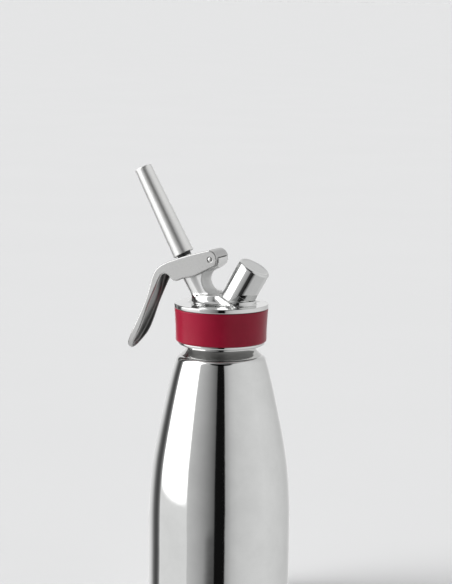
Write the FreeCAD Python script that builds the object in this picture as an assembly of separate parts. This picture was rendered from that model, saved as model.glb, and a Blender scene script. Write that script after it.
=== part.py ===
import FreeCAD, Part
import math
import os

# Whipped cream dispenser, one litre class: a stainless bottle with a screwed head, a squeeze lever
# that opens a sprung valve, a screwed nozzle, and a capped gas charger inlet.
# Millimetres, +Z up. Origin: centre of the flat base, on the bottle's axis.
# The lever and nozzle lean to -X and the charger inlet to +X, all in the plane Y = 0.

V = FreeCAD.Vector

# ---------------------------------------------------------------- driving dimensions
# bottle
WALL = 1.5                 # drawn steel wall
NECK_R = 25.2              # plain neck, outside
NECK_BORE = 22.6
NECK_THREAD_R = 26.1       # crest of the bottle's thread
NECK_THREAD_PITCH = 4.0
RIM_Z = 217.6              # mouth of the bottle
# head
DISC_R = 35.1
DISC_TOP = 229.0
DISC_THICK = 3.4
SKIRT_R = 31.2
SKIRT_BORE = 26.55
LIP_R = 32.5
LIP_Z = 198.2
BAND_Z0, BAND_Z1 = 200.9, 225.5
CEILING_Z = 220.1          # inside top of the head, above the head gasket
# valve, measured along its own axis from the point where the axis meets the top of the disc
VALVE_X = -12.4
VALVE_TILT = 28.6          # degrees from vertical, towards -X
SEAT_T = -5.2
COLUMN_T = 25.5
COLLAR_T = 33.0
SLEEVE_T = 37.4
NOZZLE_T = 39.6
NOZZLE_LEN = 71.6
NOZZLE_R0, NOZZLE_R1 = 8.0, 6.45
STEM_R = 4.0
VALVE_STROKE = 4.0
# charger inlet, measured the same way along its own axis
INLET_X = 10.3
INLET_TILT = 29.8          # degrees from vertical, towards +X
BOSS_R = 12.0
CAP_R = 12.2
SEAM_S = 10.8
CAP_TOP_S = 33.0
# lever
PIN_X, PIN_Z = -5.3, 262.0
PIN_R = 2.0
LEVER_W = 10.4             # half width
CHEEK = 1.8                # cheek thickness
LUG_HALF = 8.2
SEAM_Z = 263.45            # stop face between the lever's rear bridge and the lug
RUN = 0.05                 # radial clearance of running fits

a_v = math.radians(VALVE_TILT)
a_b = math.radians(INLET_TILT)
D = V(-math.sin(a_v), 0, math.cos(a_v))       # valve axis, outwards
D1 = V(math.cos(a_v), 0, math.sin(a_v))       # across it, in the plane of symmetry
B = V(math.sin(a_b), 0, math.cos(a_b))        # inlet axis, outwards
V0 = V(VALVE_X, 0, DISC_TOP)
B0 = V(INLET_X, 0, DISC_TOP)


def vp(t, r=0.0):
    return V0 + D * t + D1 * r


def bp(s):
    return B0 + B * s


def cyl(p, axis, r, length):
    return Part.makeCylinder(r, length, p, axis)


def cone(p, axis, r0, r1, length):
    return Part.makeCone(r0, r1, length, p, axis)


def vcyl(r, t0, t1):
    return cyl(vp(t0), D, r, t1 - t0)


def bcyl(r, s0, s1):
    return cyl(bp(s0), B, r, s1 - s0)


def ring(p, axis, ri, ro, length):
    return cyl(p, axis, ro, length).cut(cyl(p - axis * 1.0, axis, ri, length + 2.0))


def revolve(points):
    """Solid of revolution about Z from (r, z) points joined by straight lines."""
    pts = [V(r, 0, z) for r, z in points]
    wire = Part.makePolygon(pts + [pts[0]])
    return Part.Face(wire).revolve(V(0, 0, 0), V(0, 0, 1), 360)


def edge_wire(edges):
    return Part.Wire(Part.__sortEdges__(edges))


def spline(points):
    c = Part.BSplineCurve()
    c.interpolate([V(*p) if not isinstance(p, V) else p for p in points])
    return c


def ridges(p, axis, r_root, r_crest, start, pitch, count, width):
    """Thread crests as plain rings standing on a core."""
    out = []
    for i in range(count):
        q = p + axis * (start + i * pitch)
        low = cone(q, axis, r_root - 0.4, r_crest, width * 0.4)
        top = cone(q + axis * (width * 0.6), axis, r_crest, r_root - 0.4, width * 0.4)
        mid = cyl(q + axis * (width * 0.4), axis, r_crest, width * 0.2)
        bead = low.fuse([mid, top]).removeSplitter()
        out.append(bead.cut(cyl(q - axis, axis, r_root - 0.5, width + 2.0)))
    return out


def place_axis(shape, origin, axis):
    """Move a shape built along +Z at the origin onto an axis in the plane Y = 0."""
    s = shape.copy()
    ang = math.degrees(math.atan2(axis.x, axis.z))
    s.rotate(V(0, 0, 0), V(0, 1, 0), ang)
    s.translate(origin)
    return s


def coil(r_mean, wire_r, height, turns):
    """Open coil spring along +Z from z = 0."""
    helix = Part.makeHelix((height - 2 * wire_r) / turns, height - 2 * wire_r, r_mean)
    start = V(r_mean, 0, 0)
    prof = Part.Wire(Part.makeCircle(wire_r, start, V(0, 1, 0)))
    pipe = Part.Wire(helix.Edges).makePipeShell([prof], True, True)
    pipe.translate(V(0, 0, wire_r))
    return pipe


def torus(p, axis, r_major, r_minor):
    return Part.makeTorus(r_major, r_minor, p, axis)


parts = {}

# ---------------------------------------------------------------- bottle
# Outside of the drawn shell, base to shoulder, as (radius, height).
BOTTLE_OUT = [(52.8, 62.0), (52.45, 80.0), (51.45, 96.0), (49.7, 112.0), (46.95, 128.0), (45.1, 137.5),
              (43.2, 146.7), (41.25, 155.8), (39.2, 164.9), (37.0, 174.0), (34.6, 183.0), (33.35, 187.2)]
BASE_CORNER = 8.0
SHOULDER_Z = 190.6         # flat seat of the neck ring
NECK_HOLE = 26.8           # hole in the shell for the neck ring


def bottle_profile(off, z_base, r_hole):
    """Closed half section between the axis and the wall, shrunk by off."""
    r_body = BOTTLE_OUT[0][0] - off
    c = max(BASE_CORNER - off, 2.0)
    k = c * (1 - math.sqrt(0.5))
    pts = [(BOTTLE_OUT[i][0] - off, BOTTLE_OUT[i][1]) for i in range(len(BOTTLE_OUT))]
    edges = []
    base = Part.LineSegment(V(0, 0, z_base), V(r_body - c, 0, z_base)).toShape()
    corner = Part.Arc(V(r_body - c, 0, z_base), V(r_body - k, 0, z_base + k), V(r_body, 0, z_base + c)).toShape()
    side = Part.LineSegment(V(r_body, 0, z_base + c), V(pts[0][0], 0, pts[0][1])).toShape()
    wall_curve = Part.BSplineCurve()
    vs = [V(r, 0, z) for r, z in pts]
    tan0 = V(0, 0, 1)
    tan1 = (vs[-1] - vs[-2])
    tan1.normalize()
    wall_curve.interpolate(vs, InitialTangent=tan0, FinalTangent=tan1)
    wall_edge = wall_curve.toShape()
    # shoulder: round off, then the flat ledge in to the neck
    p0 = vs[-1]
    p2 = V(30.2 - off, 0, SHOULDER_Z - off)
    pm = V(p0.x * 0.5 + p2.x * 0.5 + 0.39, 0, p0.z * 0.5 + p2.z * 0.5 + 0.36)
    round_edge = Part.Arc(p0, pm, p2).toShape()
    ledge = Part.LineSegment(p2, V(r_hole, 0, SHOULDER_Z - off)).toShape()
    top = Part.LineSegment(V(r_hole, 0, SHOULDER_Z - off), V(0, 0, SHOULDER_Z - off)).toShape()
    axis = Part.LineSegment(V(0, 0, SHOULDER_Z - off), V(0, 0, z_base)).toShape()
    edges = [base, corner, side, wall_edge, round_edge, ledge, top, axis]
    face = Part.Face(Part.Wire(edges))
    return face.revolve(V(0, 0, 0), V(0, 0, 1), 360)


outer = bottle_profile(0.0, 0.0, 24.0)
inner = bottle_profile(WALL, WALL + 0.3, 24.0)
shell = outer.cut(inner)
shell = shell.cut(cyl(V(0, 0, 180), V(0, 0, 1), NECK_HOLE, 20))
parts["bottle_shell"] = shell

# Machined neck ring, welded into the shoulder: foot with a concave fillet, plain neck, thread, mouth.
FOOT_R = 30.2
FOOT = [(NECK_R, 197.6), (NECK_R + 0.08, 196.0), (NECK_R + 0.38, 194.7), (NECK_R + 1.05, 193.5), (27.6, 192.3), (29.0, 191.4),
        (FOOT_R, 190.75)]
sweep_pts = [V(r, 0, z) for r, z in FOOT]
sweep_curve = Part.BSplineCurve()
sweep_curve.interpolate(sweep_pts, InitialTangent=V(0, 0, -1), FinalTangent=V(0.91, 0, -0.41))
edges = [
    Part.LineSegment(V(NECK_BORE, 0, RIM_Z - 0.8), V(NECK_BORE + 0.8, 0, RIM_Z)).toShape(),
    Part.LineSegment(V(NECK_BORE + 0.8, 0, RIM_Z), V(NECK_R - 0.4, 0, RIM_Z)).toShape(),
    Part.LineSegment(V(NECK_R - 0.4, 0, RIM_Z), V(NECK_R, 0, RIM_Z - 0.8)).toShape(),
    Part.LineSegment(V(NECK_R, 0, RIM_Z - 0.8), sweep_pts[0]).toShape(),
    sweep_curve.toShape(),
    Part.LineSegment(sweep_pts[-1], V(FOOT_R, 0, SHOULDER_Z)).toShape(),
    Part.LineSegment(V(FOOT_R, 0, SHOULDER_Z), V(NECK_HOLE, 0, SHOULDER_Z)).toShape(),
    Part.LineSegment(V(NECK_HOLE, 0, SHOULDER_Z), V(NECK_HOLE, 0, SHOULDER_Z - 3.2)).toShape(),
    Part.LineSegment(V(NECK_HOLE, 0, SHOULDER_Z - 3.2), V(NECK_BORE + 1.2, 0, SHOULDER_Z - 3.2)).toShape(),
    Part.LineSegment(V(NECK_BORE + 1.2, 0, SHOULDER_Z - 3.2), V(NECK_BORE, 0, SHOULDER_Z - 2.0)).toShape(),
    Part.LineSegment(V(NECK_BORE, 0, SHOULDER_Z - 2.0), V(NECK_BORE, 0, RIM_Z - 0.8)).toShape(),
]
neck = Part.Face(Part.Wire(edges)).revolve(V(0, 0, 0), V(0, 0, 1), 360)
neck = neck.fuse(ridges(V(0, 0, 0), V(0, 0, 1), NECK_R, NECK_THREAD_R, 200.4, NECK_THREAD_PITCH, 4, 2.4)).removeSplitter()
parts["neck_ring"] = neck

# ---------------------------------------------------------------- head gasket
gasket = ring(V(0, 0, RIM_Z + 0.05), V(0, 0, 1), 22.3, 26.2, 2.4)
tab = Part.makeBox(4.6, 7.0, 1.2, V(18.6, -3.5, RIM_Z + 0.65))
parts["head_gasket"] = gasket.fuse(tab).removeSplitter()

# ---------------------------------------------------------------- head casting
disc = cyl(V(0, 0, DISC_TOP - DISC_THICK), V(0, 0, 1), DISC_R, DISC_THICK)
disc = disc.makeFillet(1.0, [e for e in disc.Edges if abs(e.BoundBox.ZLength) < 1e-3 and e.BoundBox.XLength > 60])
puck = cyl(V(0, 0, CEILING_Z), V(0, 0, 1), SKIRT_R, DISC_TOP - DISC_THICK - CEILING_Z + 0.5)
lip = cyl(V(0, 0, LIP_Z), V(0, 0, 1), LIP_R, BAND_Z0 - LIP_Z - 0.1)
low_edge = [e for e in lip.Edges if abs(e.BoundBox.ZMin - LIP_Z) < 1e-3 and abs(e.BoundBox.ZLength) < 1e-3]
lip = lip.makeFillet(1.9, low_edge)

# Collar welded under the head: the threaded sleeve that the bottle's neck screws into, with the rounded lip.
collar = cyl(V(0, 0, LIP_Z + 1.0), V(0, 0, 1), SKIRT_R, CEILING_Z - LIP_Z - 1.0).fuse(lip)
collar = collar.cut(cyl(V(0, 0, LIP_Z - 1), V(0, 0, 1), SKIRT_BORE, CEILING_Z - LIP_Z + 2))
collar = collar.cut(cone(V(0, 0, LIP_Z - 0.01), V(0, 0, 1), SKIRT_BORE + 1.0, SKIRT_BORE, 1.0)).removeSplitter()
parts["head_collar"] = collar


def oval(xa, xb, ra, rb, z, n=24):
    """Closed smooth curve around two circles on the X axis, as an interpolated spline wire."""
    pts = []
    for i in range(n):
        th = 2 * math.pi * i / n
        c, s = math.cos(th), math.sin(th)
        w = 0.5 * (1 + c)
        x = xa * (1 - w) + xb * w + (ra * (1 - w) + rb * w) * c
        y = (ra * (1 - w) + rb * w) * s
        pts.append(V(x, y, z))
    c = Part.BSplineCurve()
    c.interpolate(pts, PeriodicFlag=True)
    return Part.Wire(c.toShape())


# Dome: a concave flare from a wide foot on the disc up to a narrow oval crest.
DOME_TOP = 234.6
dome = Part.makeLoft([
    oval(-5.5, 3.0, 24.5, 24.5, DISC_TOP - 1.0),
    oval(-5.5, 3.0, 24.0, 24.0, DISC_TOP + 0.05),
    oval(-9.0, 7.0, 17.0, 17.0, DISC_TOP + 1.3),
    oval(-12.0, 10.5, 12.2, 12.8, DISC_TOP + 3.2),
    oval(-13.2, 11.5, 10.2, 11.6, DOME_TOP),
], True, False)
plinth = cyl(V(13.0, 0, DISC_TOP - 1), V(0, 0, 1), 14.0, 4.6)
plinth = plinth.makeFillet(0.7, [e for e in plinth.Edges if abs(e.BoundBox.ZMin - (DISC_TOP + 3.6)) < 1e-3 and e.BoundBox.ZLength < 1e-3])
boss = bcyl(BOSS_R, -1.5, SEAM_S)
column = cone(vp(-1.0), D, 7.6, 8.35, COLUMN_T + 1.0)


def plate(points, half):
    w = Part.makePolygon([V(x, -half, z) for x, z in points + [points[0]]])
    return Part.Face(w).extrude(V(0, 2 * half, 0))


arm_outline = [(-12.0, 230.0), (-24.0, 250.8), (-14.8, 262.4), (-5.3, 262.4), (-0.2, 257.2), (-3.4, 254.2), (8.0, 254.2),
               (8.0, 238.4), (5.0, 238.4), (5.0, 231.0)]
web = plate(arm_outline, 5.5).cut(cyl(V(-2.4, -20, 247.0), V(0, 1, 0), 8.5, 40))
web = web.cut(Part.makeBox(20, 40, 15.0, V(-2.4, -20, 239.3)).cut(cyl(V(PIN_X, -20, PIN_Z), V(0, 1, 0), 6.8, 40)))
thick = plate(arm_outline, 7.3).cut(cyl(V(-2.5, -20, 246.0), V(0, 1, 0), 11.2, 40))
thick = thick.cut(Part.makeBox(30, 40, 40, V(-2.5, -20, 232.0)))
lug = cyl(V(PIN_X, -LUG_HALF, PIN_Z), V(0, 1, 0), 6.7, 2 * LUG_HALF)
lug = lug.cut(Part.makeBox(30, 40, 20, V(PIN_X - 15, -20, SEAM_Z - 0.15)))
lug = lug.fuse(cyl(V(PIN_X, -LUG_HALF, PIN_Z), V(0, 1, 0), 4.1, 2 * LUG_HALF))
heel = plate([(-11.9, 262.4), (-5.3, 262.4), (-5.3, 255.4), (-9.5, 252.0), (-15.0, 249.0), (-17.0, 252.0)], LUG_HALF)
thick = thick.cut(Part.makeBox(40, 40, 20, V(-40, -20, 262.5)))

head = disc.fuse([puck, dome, plinth, boss, column, web, thick, lug, heel])
# bores: the valve, the charger inlet and the pivot
cuts = [
    vcyl(8.0, -30.0, SEAT_T),
    vcyl(6.0, SEAT_T - 1, 1.5),
    vcyl(STEM_R + RUN, 0.0, 12.0),
    vcyl(6.2, 9.0, COLUMN_T + 5),
    vcyl(7.75, COLUMN_T, COLUMN_T + 9),
    bcyl(2.2, -16.0, 8.0),
    bcyl(4.5, 5.0, 12.0),
    bcyl(8.0, 9.0, 30.0),
    bcyl(CAP_R + 0.15, SEAM_S, 30.0),
    cyl(V(PIN_X, -20, PIN_Z), V(0, 1, 0), PIN_R, 40),
]
for c in cuts:
    head = head.cut(c)
parts["head_casting"] = head.removeSplitter()

# Threaded nipple pressed in the boss: the charger holder, or here the cap, screws on it.
nipple = bcyl(8.0, 9.0, SEAM_S + 0.5).fuse(bcyl(9.0, SEAM_S, 24.3)).cut(bcyl(6.3, 8.0, 26.0))
parts["inlet_nipple"] = nipple.fuse(ridges(B0, B, 9.0, 9.5, 12.6, 1.5, 7, 1.1)).removeSplitter()

# Silicone band round the skirt: flared at the top, rounded at the foot.
band_out = [(33.0, BAND_Z0), (33.55, BAND_Z0 + 0.6), (33.72, BAND_Z0 + 1.8), (33.75, 206.0), (33.85, 210.5), (34.05, 215.0),
            (34.35, 220.0), (34.8, 224.8)]
bedges = [Part.LineSegment(V(SKIRT_R + 0.05, 0, BAND_Z0), V(33.0, 0, BAND_Z0)).toShape(),
          spline([(r, 0, z) for r, z in band_out]).toShape(),
          Part.LineSegment(V(34.8, 0, 224.8), V(34.3, 0, BAND_Z1)).toShape(),
          Part.LineSegment(V(34.3, 0, BAND_Z1), V(SKIRT_R + 0.05, 0, BAND_Z1)).toShape(),
          Part.LineSegment(V(SKIRT_R + 0.05, 0, BAND_Z1), V(SKIRT_R + 0.05, 0, BAND_Z0)).toShape()]
parts["grip_band"] = Part.Face(Part.Wire(bedges)).revolve(V(0, 0, 0), V(0, 0, 1), 360)

# ---------------------------------------------------------------- valve train (head side)
bush = vcyl(6.2, COLUMN_T - 1.0, COLUMN_T + 0.0).fuse(vcyl(7.7, COLUMN_T, COLUMN_T + 1.0))
parts["guide_bush"] = bush.cut(vcyl(STEM_R + RUN, COLUMN_T - 3, COLUMN_T + 3)).removeSplitter()
parts["valve_spring"] = place_axis(coil(5.1, 0.6, 12.9, 5), vp(9.05), D)

# ---------------------------------------------------------------- valve train (moving)
stem = vcyl(STEM_R, -9.0, 36.0).fuse(vcyl(6.7, -9.0, -7.2))
stem = stem.cut(vcyl(2.0, -2.5, 40.0))
stem = stem.cut(cyl(vp(-0.6) + V(0, -10, 0), V(0, 1, 0), 1.4, 20))
stem = stem.cut(ring(vp(4.6), D, 2.95, 6.0, 1.2))
parts["valve_stem"] = stem.removeSplitter()
parts["stem_oring"] = torus(vp(5.2), D, 3.48, 0.5)
parts["valve_seal"] = ring(vp(-7.2), D, STEM_R, 7.2, 1.9)
parts["spring_cup"] = ring(vp(22.1), D, STEM_R, 5.9, 1.8)

# Hexagonal collar, sleeve and threaded spigot, screwed on the stem's upper end.
hexa = []
for i in range(6):
    th = math.radians(60 * i)
    hexa.append((math.cos(th) * 7.4, math.sin(th) * 7.4))
hw = Part.makePolygon([V(x, y, 0) for x, y in hexa + [hexa[0]]])
hexs = place_axis(Part.Face(hw).extrude(V(0, 0, COLLAR_T - 30.9)), vp(30.9), D)
adapter = hexs.fuse([vcyl(4.9, COLLAR_T - 0.5, SLEEVE_T), vcyl(3.8, SLEEVE_T - 0.5, 47.0)])
adapter = adapter.cut(vcyl(STEM_R, 30.0, 36.0)).cut(vcyl(2.2, 35.0, 50.0))
adapter = adapter.fuse(ridges(V0, D, 3.8, 4.2, 40.4, 1.25, 5, 0.9)).removeSplitter()
parts["nozzle_adapter"] = adapter

# ---------------------------------------------------------------- nozzle
parts["nozzle_seal"] = ring(vp(SLEEVE_T + 0.05), D, 4.35, 5.2, NOZZLE_T - SLEEVE_T - 0.1)
tip_t = NOZZLE_T + NOZZLE_LEN
nozzle = cone(vp(NOZZLE_T), D, NOZZLE_R0, NOZZLE_R1, NOZZLE_LEN)
nozzle = nozzle.cut(vcyl(4.5, NOZZLE_T - 1, 50.0)).cut(cone(vp(50.0), D, 4.5, 5.2, 8.0)).cut(vcyl(5.2, 57.9, tip_t + 1))
nozzle = nozzle.makeFillet(0.5, [e for e in nozzle.Edges if e.Curve.TypeId == "Part::GeomCircle"
                                 and (abs(e.Curve.Radius - NOZZLE_R0) < 0.01 or abs(e.Curve.Radius - NOZZLE_R1) < 0.01)])
parts["nozzle"] = nozzle

# ---------------------------------------------------------------- charger inlet
parts["charger_seal"] = ring(bp(9.0), B, 2.4, 6.25, 1.9)
pinh = bcyl(4.5, 5.0, 8.9).fuse([bcyl(1.2, 8.0, 12.6), cone(bp(12.6), B, 1.2, 0.45, 2.2)])
pinh = pinh.cut(bcyl(0.4, 3.0, 16.0)).cut(cone(bp(4.99), B, 1.5, 0.3, 1.4))
parts["piercing_pin"] = pinh.removeSplitter()
parts["check_ball"] = Part.makeSphere(1.45, bp(4.05))
parts["check_spring"] = place_axis(coil(1.35, 0.2, 3.6, 4), bp(-1.15), B)
parts["inlet_retainer"] = ring(bp(-2.7), B, 0.9, 2.2, 1.5)

# ---------------------------------------------------------------- inlet cap
cap = bcyl(CAP_R, SEAM_S + 0.1, CAP_TOP_S)
cap = cap.makeFillet(1.5, [e for e in cap.Edges if e.Curve.TypeId == "Part::GeomCircle" and (e.Curve.Center - bp(CAP_TOP_S)).Length < 0.01])
cap = cap.makeFillet(0.35, [e for e in cap.Edges if e.Curve.TypeId == "Part::GeomCircle" and (e.Curve.Center - bp(SEAM_S + 0.1)).Length < 0.01])
cap = cap.cut(bcyl(9.8, SEAM_S - 1, 30.6))
cap = cap.cut(bcyl(9.9, CAP_TOP_S - 0.25, CAP_TOP_S + 1))
parts["inlet_cap"] = cap
parts["cap_seal"] = ring(bp(24.6), B, 6.2, 9.45, 5.9)

# ---------------------------------------------------------------- pivot pin
pin = cyl(V(PIN_X, -LEVER_W + 0.15, PIN_Z), V(0, 1, 0), PIN_R, 2 * LEVER_W - 0.3)
for sgn in (-1, 1):
    pin = pin.cut(Part.makeSphere(1.7, V(PIN_X, sgn * (LEVER_W + 0.75), PIN_Z)))
parts["pivot_pin"] = pin

# ---------------------------------------------------------------- lever
# Outer line, from above the pivot along the top, round the bend and down the handle to its tip.
TOP = [(-6.1, 269.0), (-21.3, 264.75), (-34.3, 260.45), (-41.5, 257.6), (-47.2, 254.2), (-51.0, 249.9), (-53.2, 244.3),
       (-56.4, 233.4), (-60.6, 222.6), (-65.3, 212.4), (-70.0, 203.1), (-76.4, 191.4)]
# Free edge of the flanges, from the tip back up, over the finger arch, the lobe and along under the cheek.
LOW = [(-73.4, 189.4), (-69.2, 195.6), (-64.7, 202.4), (-60.5, 211.4), (-56.2, 223.4), (-51.9, 233.6), (-48.4, 241.3), (-46.0, 246.3),
       (-43.9, 248.7), (-41.6, 249.2), (-39.2, 248.1), (-37.1, 246.1), (-34.9, 244.6), (-32.4, 244.3), (-29.6, 245.4), (-26.5, 246.6),
       (-21.5, 247.7), (-16.0, 249.7), (-9.1, 253.2), (-3.3, 256.2)]
END = [(-3.3, 256.2), (-1.0, 257.6), (0.25, 260.2), (0.45, 262.6), (-0.1, 264.9), (-1.6, 267.0), (-3.7, 268.4), (-6.1, 269.0)]


def flat(points, y):
    return [V(x, y, z) for x, z in points]


def lever_prism(half):
    top = spline(flat(TOP, -half)).toShape()
    tip = Part.LineSegment(V(TOP[-1][0], -half, TOP[-1][1]), V(LOW[0][0], -half, LOW[0][1])).toShape()
    low = spline(flat(LOW, -half)).toShape()
    end = spline(flat(END, -half)).toShape()
    return Part.Face(Part.Wire([top, tip, low, end])).extrude(V(0, 2 * half, 0))


# Inner side of the web: the outer line moved inwards by the web's thickness.
top_curve = spline(flat(TOP, 0))
u0, u1 = top_curve.FirstParameter, top_curve.LastParameter
inner_pts = []
N_IN = 22
for i in range(N_IN + 1):
    u = u0 + (u1 - u0) * i / N_IN
    p = top_curve.value(u)
    tg = top_curve.tangent(u)[0]
    n = V(tg.z, 0, -tg.x)            # to the inside of the bend
    if n.dot(V(1, 0, -1)) < 0:
        n = n * -1
    blend = min(max((-p.x - 34.0) / 18.0, 0.0), 1.0)
    th = 2.4 * (1 - blend) + 1.7 * blend
    inner_pts.append((p.x + n.x * th, p.z + n.z * th))
R_BR = 4.6


def inner_prism(half):
    """Everything between the cheeks, below the web and clear of the rear bridge."""
    xs = PIN_X + math.sqrt(R_BR ** 2 - (SEAM_Z + 0.15 - PIN_Z) ** 2)
    first = inner_pts[0]
    a0 = math.atan2(SEAM_Z + 0.15 - PIN_Z, xs - PIN_X)
    a1 = math.radians(75.0)
    am = 0.5 * (a0 + a1)
    arc_end = (PIN_X + R_BR * math.cos(a1), PIN_Z + R_BR * math.sin(a1))
    arc = Part.Arc(V(xs, -half, SEAM_Z + 0.15), V(PIN_X + R_BR * math.cos(am), -half, PIN_Z + R_BR * math.sin(am)),
                   V(arc_end[0], -half, arc_end[1])).toShape()
    keep = [p for p in inner_pts if p[0] < PIN_X - 1.5]
    join = Part.LineSegment(V(arc_end[0], -half, arc_end[1]), V(keep[0][0], -half, keep[0][1])).toShape()
    sp = spline(flat(keep, -half)).toShape()
    poly = [keep[-1], (keep[-1][0] + 8.0, 175.0), (25.0, 175.0), (25.0, SEAM_Z + 0.15), (xs, SEAM_Z + 0.15)]
    segs = [Part.LineSegment(V(poly[i][0], -half, poly[i][1]), V(poly[i + 1][0], -half, poly[i + 1][1])).toShape()
            for i in range(len(poly) - 1)]
    return Part.Face(Part.Wire([arc, join, sp] + segs)).extrude(V(0, 2 * half, 0))


# Plan view of the handle's end: parallel sides, then a half ellipse, square to the handle.
H_DIR = V(-0.54, 0, -0.842)
H_DIR.normalize()
H_NRM = V(-H_DIR.z, 0, H_DIR.x)
H_ORG = V(-65.0, 0, 205.0)


def plan(half, reach):
    o = H_ORG - H_NRM * 60
    up = o - H_DIR * 150
    y = V(0, half, 0)
    e = [Part.LineSegment(up - y, o - y).toShape(), Part.LineSegment(o + y, up + y).toShape(), Part.LineSegment(up + y, up - y).toShape()]
    arcs = []
    n = 16
    pts = [o + H_DIR * (reach * math.cos(math.pi * (i / n - 0.5))) + V(0, half * math.sin(math.pi * (i / n - 0.5)), 0) for i in range(n + 1)]
    c = Part.BSplineCurve()
    c.interpolate(pts, InitialTangent=H_DIR, FinalTangent=H_DIR * -1)
    e.insert(1, c.toShape())
    return Part.Face(Part.Wire(e)).extrude(H_NRM * 120)


lever = lever_prism(LEVER_W).common(plan(LEVER_W + 0.001, 17.6))
hollow = inner_prism(LEVER_W - CHEEK).common(plan(LEVER_W - CHEEK + 0.001, 15.6))
lever = lever.cut(hollow)
# cam prongs each side of the stem slot, which bear on the collar
for sgn in (-1, 1):
    y0 = 5.6 if sgn > 0 else -LEVER_W + 0.5
    lever = lever.fuse(cyl(vp(34.8) + V(0, y0, 0), V(0, 1, 0), 1.65, LEVER_W - 0.5 - 5.6))
slot = Part.makeBox(13.2 - 11.0, 11.0, 14.0, V(-0.1, -5.5, 0)).fuse([Part.makeCylinder(5.5, 14.0), Part.makeCylinder(5.5, 14.0, V(2.2, 0, 0))])
slot = place_axis(slot, vp(33.0), D)
lever = lever.cut(slot)
lever = lever.cut(cyl(V(PIN_X, -20, PIN_Z), V(0, 1, 0), PIN_R + RUN, 40)).removeSplitter()
parts["lever"] = lever

# ---------------------------------------------------------------- write
os.makedirs("parts", exist_ok=True)
for name, shape in parts.items():
    if shape.ShapeType == "Compound" and len(shape.Solids) == 1:
        shape = shape.Solids[0]
    bb = shape.BoundBox
    print("%-16s solids %d valid %s vol %9.1f  x %.1f %.1f y %.1f %.1f z %.1f %.1f" % (
        name, len(shape.Solids), shape.isValid(), shape.Volume, bb.XMin, bb.XMax, bb.YMin, bb.YMax, bb.ZMin, bb.ZMax))
    shape.exportStep("parts/%s.step" % name)
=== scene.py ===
import math

import bpy
import numpy as np
from mathutils import Matrix, Vector


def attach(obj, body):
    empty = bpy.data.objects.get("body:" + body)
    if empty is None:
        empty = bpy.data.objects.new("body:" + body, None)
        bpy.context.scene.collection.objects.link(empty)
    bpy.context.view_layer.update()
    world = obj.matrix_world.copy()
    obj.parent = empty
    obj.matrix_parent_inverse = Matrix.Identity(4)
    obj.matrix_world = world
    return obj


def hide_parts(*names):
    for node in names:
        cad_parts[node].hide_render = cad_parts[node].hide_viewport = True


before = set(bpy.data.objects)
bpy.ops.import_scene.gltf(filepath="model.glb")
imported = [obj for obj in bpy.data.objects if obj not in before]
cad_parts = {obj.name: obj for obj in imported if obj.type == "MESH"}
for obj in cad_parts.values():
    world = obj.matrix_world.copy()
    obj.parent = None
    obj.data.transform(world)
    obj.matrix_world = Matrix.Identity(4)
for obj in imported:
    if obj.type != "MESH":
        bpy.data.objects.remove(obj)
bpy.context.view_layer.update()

MM = 0.001

# ---------------------------------------------------------------- sizes, in millimetres
NECK_R, NECK_BORE, NECK_THREAD_R, RIM_Z = 25.2, 22.6, 26.1, 217.6
DISC_R, DISC_TOP, DISC_THICK = 35.1, 229.0, 3.4
SKIRT_R, SKIRT_BORE, LIP_R, LIP_Z = 31.2, 26.55, 32.5, 198.2
BAND_Z0, BAND_Z1, CEILING_Z = 200.9, 225.5, 220.1
TV, TB = math.radians(28.6), math.radians(29.8)
D = np.array([-math.sin(TV), 0, math.cos(TV)])
D1 = np.array([math.cos(TV), 0, math.sin(TV)])
B = np.array([math.sin(TB), 0, math.cos(TB)])
B1 = np.array([math.cos(TB), 0, -math.sin(TB)])
V0 = np.array([-12.4, 0, DISC_TOP])
B0 = np.array([10.3, 0, DISC_TOP])
COLUMN_T, SLEEVE_T, NOZZLE_T, NOZZLE_LEN, SEAT_T = 25.5, 37.4, 39.6, 71.6, -5.2
NOZZLE_R0, NOZZLE_R1 = 8.0, 6.45
BOSS_R, CAP_R, SEAM_S, CAP_TOP_S = 12.0, 12.2, 10.8, 33.0
PIN = np.array([-5.3, 0, 262.0])
PIN_R, LEVER_W, CHEEK, LUG_HALF, SEAM_Z = 2.0, 10.4, 1.8, 8.2, 263.45
BOTTLE_OUT = [(52.8, 62.0), (52.45, 80.0), (51.45, 96.0), (49.7, 112.0), (46.95, 128.0), (45.1, 137.5),
              (43.2, 146.7), (41.25, 155.8), (39.2, 164.9), (37.0, 174.0), (34.6, 183.0), (33.35, 187.2)]
WALL, BASE_CORNER, SHOULDER_Z, NECK_HOLE, FOOT_R = 1.5, 8.0, 190.6, 26.8, 30.2


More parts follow.
